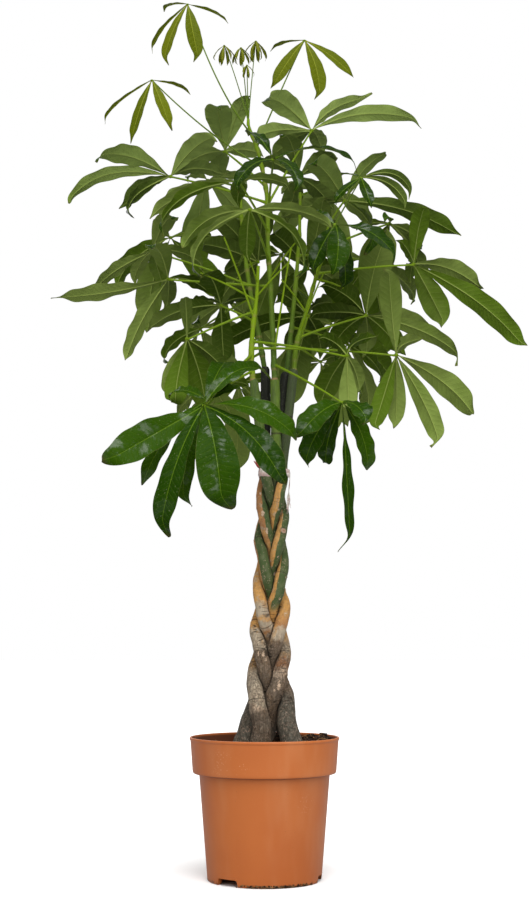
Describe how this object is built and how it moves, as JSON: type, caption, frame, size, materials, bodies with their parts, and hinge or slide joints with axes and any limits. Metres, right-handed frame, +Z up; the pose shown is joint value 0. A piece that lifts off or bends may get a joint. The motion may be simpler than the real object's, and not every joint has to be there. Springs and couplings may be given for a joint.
{
  "type": "potted money tree",
  "caption": "Potted money tree: braided trunks tied at the top of the braid, leafy shoots with palmate fronds, and a tapered nursery pot filled with soil.",
  "frame": {"origin": "middle of the pot's underside, on the surface that it stands on", "axes": "+Z up along the trunks; the side in the picture faces -Y, with +X to its right"},
  "size_m": [0.6913, 0.5375, 1.2903],
  "materials": {
    "pot": "satin terracotta-orange injection-moulded plastic",
    "soil": "dark, damp, crumbly potting mix",
    "bark": "smooth thin bark, grey-brown at the foot, tan and green higher up",
    "tie": "soft pale tape",
    "leaf": "leathery leaf, glossy above and matte beneath",
    "young_leaf": "soft young leaf, satin"
  },
  "bodies": {
    "root": {"pot": "pot", "soil": "soil", "trunk_1": "bark", "trunk_2": "bark", "trunk_3": "bark", "trunk_4": "bark", "trunk_5": "bark", "tie": "tie", "shoot_tip": "young_leaf", "frond_young_top": "young_leaf", "frond_young_left": "young_leaf", "frond_young_right": "young_leaf", "frond_small_right": "young_leaf", "frond_left_high": "leaf", "frond_top_middle": "leaf", "frond_right_high": "leaf", "frond_front_high": "leaf", "frond_front_middle": "leaf", "frond_front_broad": "leaf", "frond_right_shaded": "leaf", "frond_right_hanging": "leaf", "frond_left_low": "leaf", "frond_left_hidden": "leaf", "frond_left_inner": "leaf", "frond_left_drooping": "leaf", "frond_front_low": "leaf", "frond_front_low_behind": "leaf", "frond_right_middle": "leaf", "frond_right_inner": "leaf", "frond_right_low": "leaf", "frond_right_low_behind": "leaf", "frond_front_right_low": "leaf", "frond_middle_inner": "leaf", "frond_inner_left": "leaf", "frond_inner_right": "leaf", "frond_inner_high": "leaf", "frond_back_1": "leaf", "frond_back_2": "leaf", "frond_back_3": "leaf", "frond_back_4": "leaf", "frond_back_5": "leaf", "frond_back_6": "leaf", "frond_back_7": "leaf", "frond_back_8": "leaf", "frond_back_9": "leaf", "frond_back_10": "leaf", "frond_back_11": "leaf", "frond_back_12": "leaf", "frond_side_1": "leaf"}
  },
  "joints": []
}
